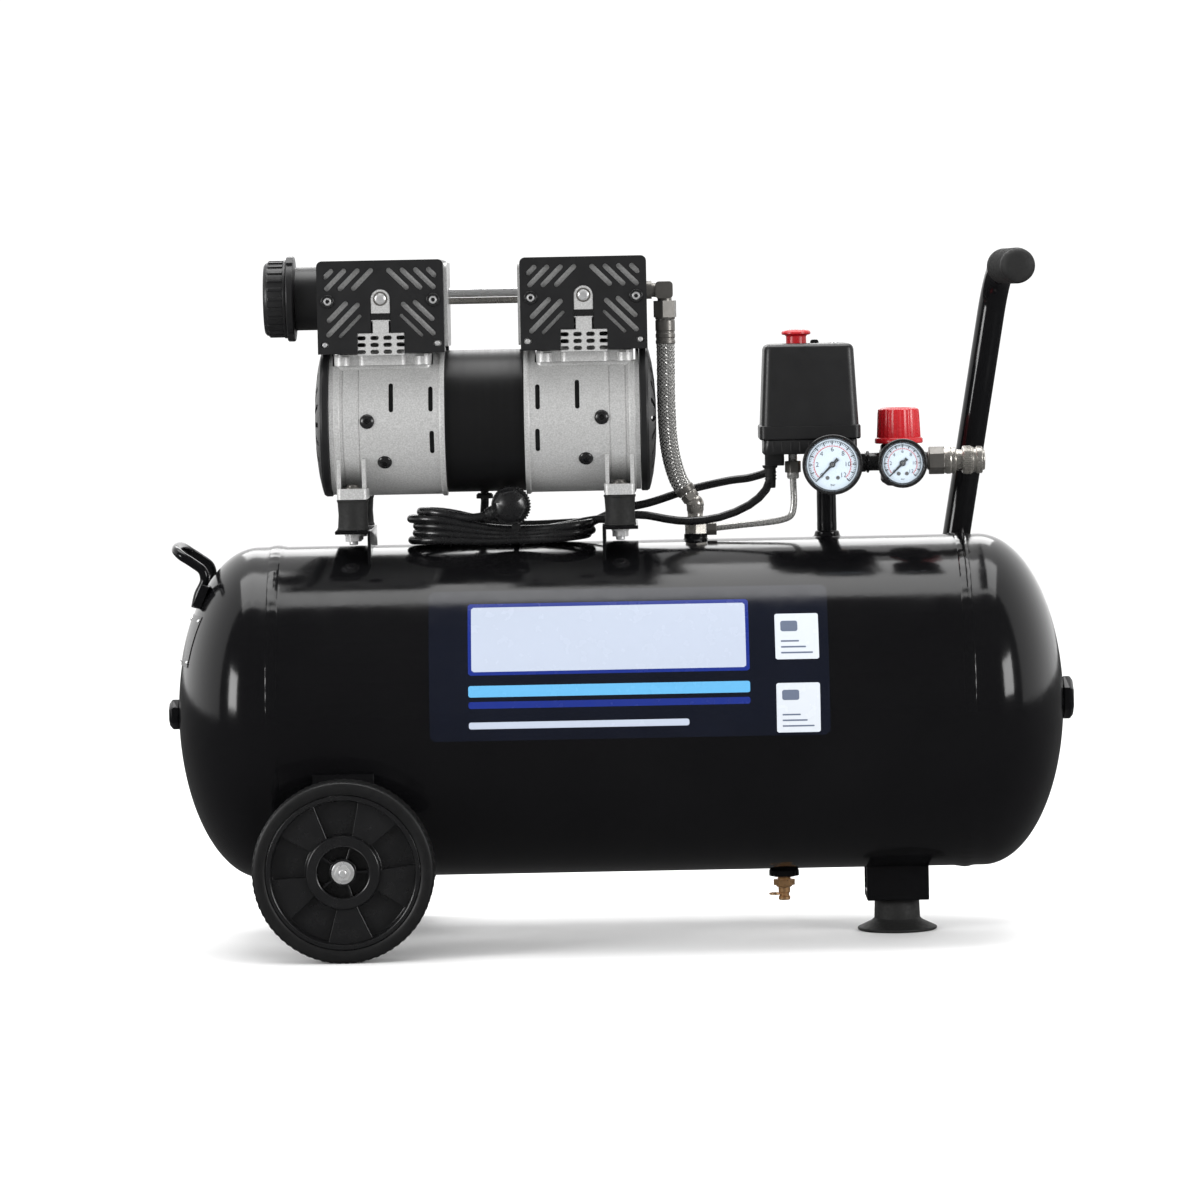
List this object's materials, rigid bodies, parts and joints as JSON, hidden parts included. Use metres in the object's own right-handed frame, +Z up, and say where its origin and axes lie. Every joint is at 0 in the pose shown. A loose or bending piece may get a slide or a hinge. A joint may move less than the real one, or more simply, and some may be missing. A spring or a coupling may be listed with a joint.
{
  "type": "air compressor",
  "caption": "Portable air compressor: oil-free piston pumps on a horizontal receiver with wheels, a foot, a push handle, a pressure switch, gauges and a hose coupler.",
  "frame": {"origin": "on the floor, under the middle of the receiver", "axes": "+X along the receiver towards the hose coupler, +Y to the rear, +Z up"},
  "size_m": [0.819, 0.372, 0.6204],
  "materials": {
    "black_paint": "gloss black powder coat with a slight orange peel",
    "black_plastic": "matte black moulded plastic with a fine grain",
    "black_rubber": "matte black rubber",
    "tyre": "solid black rubber tyre with a fine ribbed tread",
    "cast_aluminium": "bead-blasted cast aluminium with a fine sparkle",
    "stator_black": "semi-gloss black with fine lamination lines",
    "rotor_steel": "turned steel",
    "zinc_steel": "bright zinc-plated steel",
    "nickel_plate": "bright nickel-plated brass",
    "steel_braid": "woven stainless braid",
    "brass": "plain brass, slightly dulled",
    "red_plastic": "gloss red moulded plastic",
    "gauge_black": "gloss black case and pointer",
    "cable_black": "smooth black PVC sheath",
    "gauge_glass": "clear flat lens",
    "dial_face": "pale blue-white printed dial",
    "decal": "thin printed film, plain stripes and blank labels",
    "winding_copper": "varnished copper winding",
    "filter_paper": "pleated filter paper"
  },
  "bodies": {
    "base": {"tank": "black_paint", "end_plug_left": "black_paint", "end_plug_right": "black_paint", "carry_handle": "black_paint", "foot_bracket": "black_paint", "wheel_bracket_front": "black_paint", "wheel_bracket_rear": "black_paint", "push_handle": "black_paint", "pump_bracket_left": "black_paint", "pump_bracket_right": "black_paint", "riser_pipe": "black_paint", "end_guard_left": "black_plastic", "end_guard_right": "black_plastic", "head_cover_left": "black_plastic", "head_cover_right": "black_plastic", "intake_base": "black_plastic", "switch_base": "black_plastic", "switch_cover": "black_plastic", "regulator_body": "black_plastic", "rubber_foot": "black_rubber", "handle_grip": "black_rubber", "rubber_mount_front_left": "black_rubber", "rubber_mount_rear_left": "black_rubber", "rubber_mount_front_right": "black_rubber", "rubber_mount_rear_right": "black_rubber", "motor_housing_left": "cast_aluminium", "motor_housing_right": "cast_aluminium", "cylinder_left": "cast_aluminium", "cylinder_right": "cast_aluminium", "stator": "stator_black", "crossover_tube_upper": "zinc_steel", "unloader_tube": "zinc_steel", "crossover_tube_lower": "nickel_plate", "discharge_elbow": "nickel_plate", "check_valve": "nickel_plate", "manifold": "nickel_plate", "coupler_body": "nickel_plate", "discharge_hose": "steel_braid", "drain_body": "brass", "gauge_large": "gauge_black", "gauge_small": "gauge_black", "motor_cable": "cable_black", "cord_tube": "cable_black", "cord_hank": "cable_black", "power_plug": "cable_black"},
    "front_wheel": {"wheel_hub_front": "black_plastic", "tyre_front": "tyre"},
    "rear_wheel": {"wheel_hub_rear": "black_plastic", "tyre_rear": "tyre"},
    "rotor": {"rotor": "rotor_steel"},
    "piston_left": {"piston_left": "cast_aluminium"},
    "piston_right": {"piston_right": "cast_aluminium"},
    "switch_button": {"switch_button": "red_plastic"},
    "regulator_knob": {"regulator_knob": "red_plastic"},
    "large_pointer": {"gauge_large_needle": "gauge_black"},
    "small_pointer": {"gauge_small_needle": "gauge_black"},
    "coupler_sleeve": {"coupler_sleeve": "nickel_plate"},
    "drain_stem": {"drain_stem": "brass"},
    "safety_ring": {"safety_ring": "zinc_steel"},
    "intake_cap": {"intake_cap": "black_plastic"}
  },
  "joints": [
    {"name": "front_wheel_spin", "type": "hinge", "parent": "base", "child": "front_wheel", "pos_m": [-0.246, -0.168, 0.08], "axis": [0, 1, 0], "continuous": true},
    {"name": "rear_wheel_spin", "type": "hinge", "parent": "base", "child": "rear_wheel", "pos_m": [-0.246, 0.168, 0.08], "axis": [0, 1, 0], "continuous": true},
    {"name": "rotor_spin", "type": "hinge", "parent": "base", "child": "rotor", "pos_m": [-0.117, 0, 0.469], "axis": [1, 0, 0], "continuous": true},
    {"name": "piston_left_stroke", "type": "slide", "parent": "base", "child": "piston_left", "axis": [0, 0, 1], "range_m": [-0.007, 0.007]},
    {"name": "piston_right_stroke", "type": "slide", "parent": "base", "child": "piston_right", "axis": [0, 0, 1], "range_m": [-0.007, 0.007]},
    {"name": "switch_button_press", "type": "slide", "parent": "base", "child": "switch_button", "axis": [0, 0, 1], "range_m": [-0.007, 0]},
    {"name": "regulator_knob_turn", "type": "hinge", "parent": "base", "child": "regulator_knob", "pos_m": [0.2556, 0, 0.458], "axis": [0, 0, 1], "range_deg": [-900, 900]},
    {"name": "large_pointer_swing", "type": "hinge", "parent": "base", "child": "large_pointer", "pos_m": [0.193, -0.063, 0.425], "axis": [0, 1, 0], "range_deg": [0, 270], "stiffness_Nm_per_rad": 0.0001},
    {"name": "small_pointer_swing", "type": "hinge", "parent": "base", "child": "small_pointer", "pos_m": [0.2556, -0.063, 0.425], "axis": [0, 1, 0], "range_deg": [0, 270], "stiffness_Nm_per_rad": 0.0001},
    {"name": "coupler_sleeve_pull", "type": "slide", "parent": "base", "child": "coupler_sleeve", "axis": [1, 0, 0], "range_m": [-0.004, 0], "stiffness_N_per_m": 1000},
    {"name": "drain_stem_turn", "type": "hinge", "parent": "base", "child": "drain_stem", "pos_m": [0.145, 0, 0.036], "axis": [0, 0, -1], "range_deg": [0, 540]},
    {"name": "safety_ring_pull", "type": "slide", "parent": "base", "child": "safety_ring", "axis": [0, 1, 0], "range_m": [0, 0.003], "stiffness_N_per_m": 1000},
    {"name": "intake_cap_twist", "type": "hinge", "parent": "base", "child": "intake_cap", "pos_m": [-0.305, 0, 0.582], "axis": [-1, 0, 0], "range_deg": [0, 60]}
  ]
}
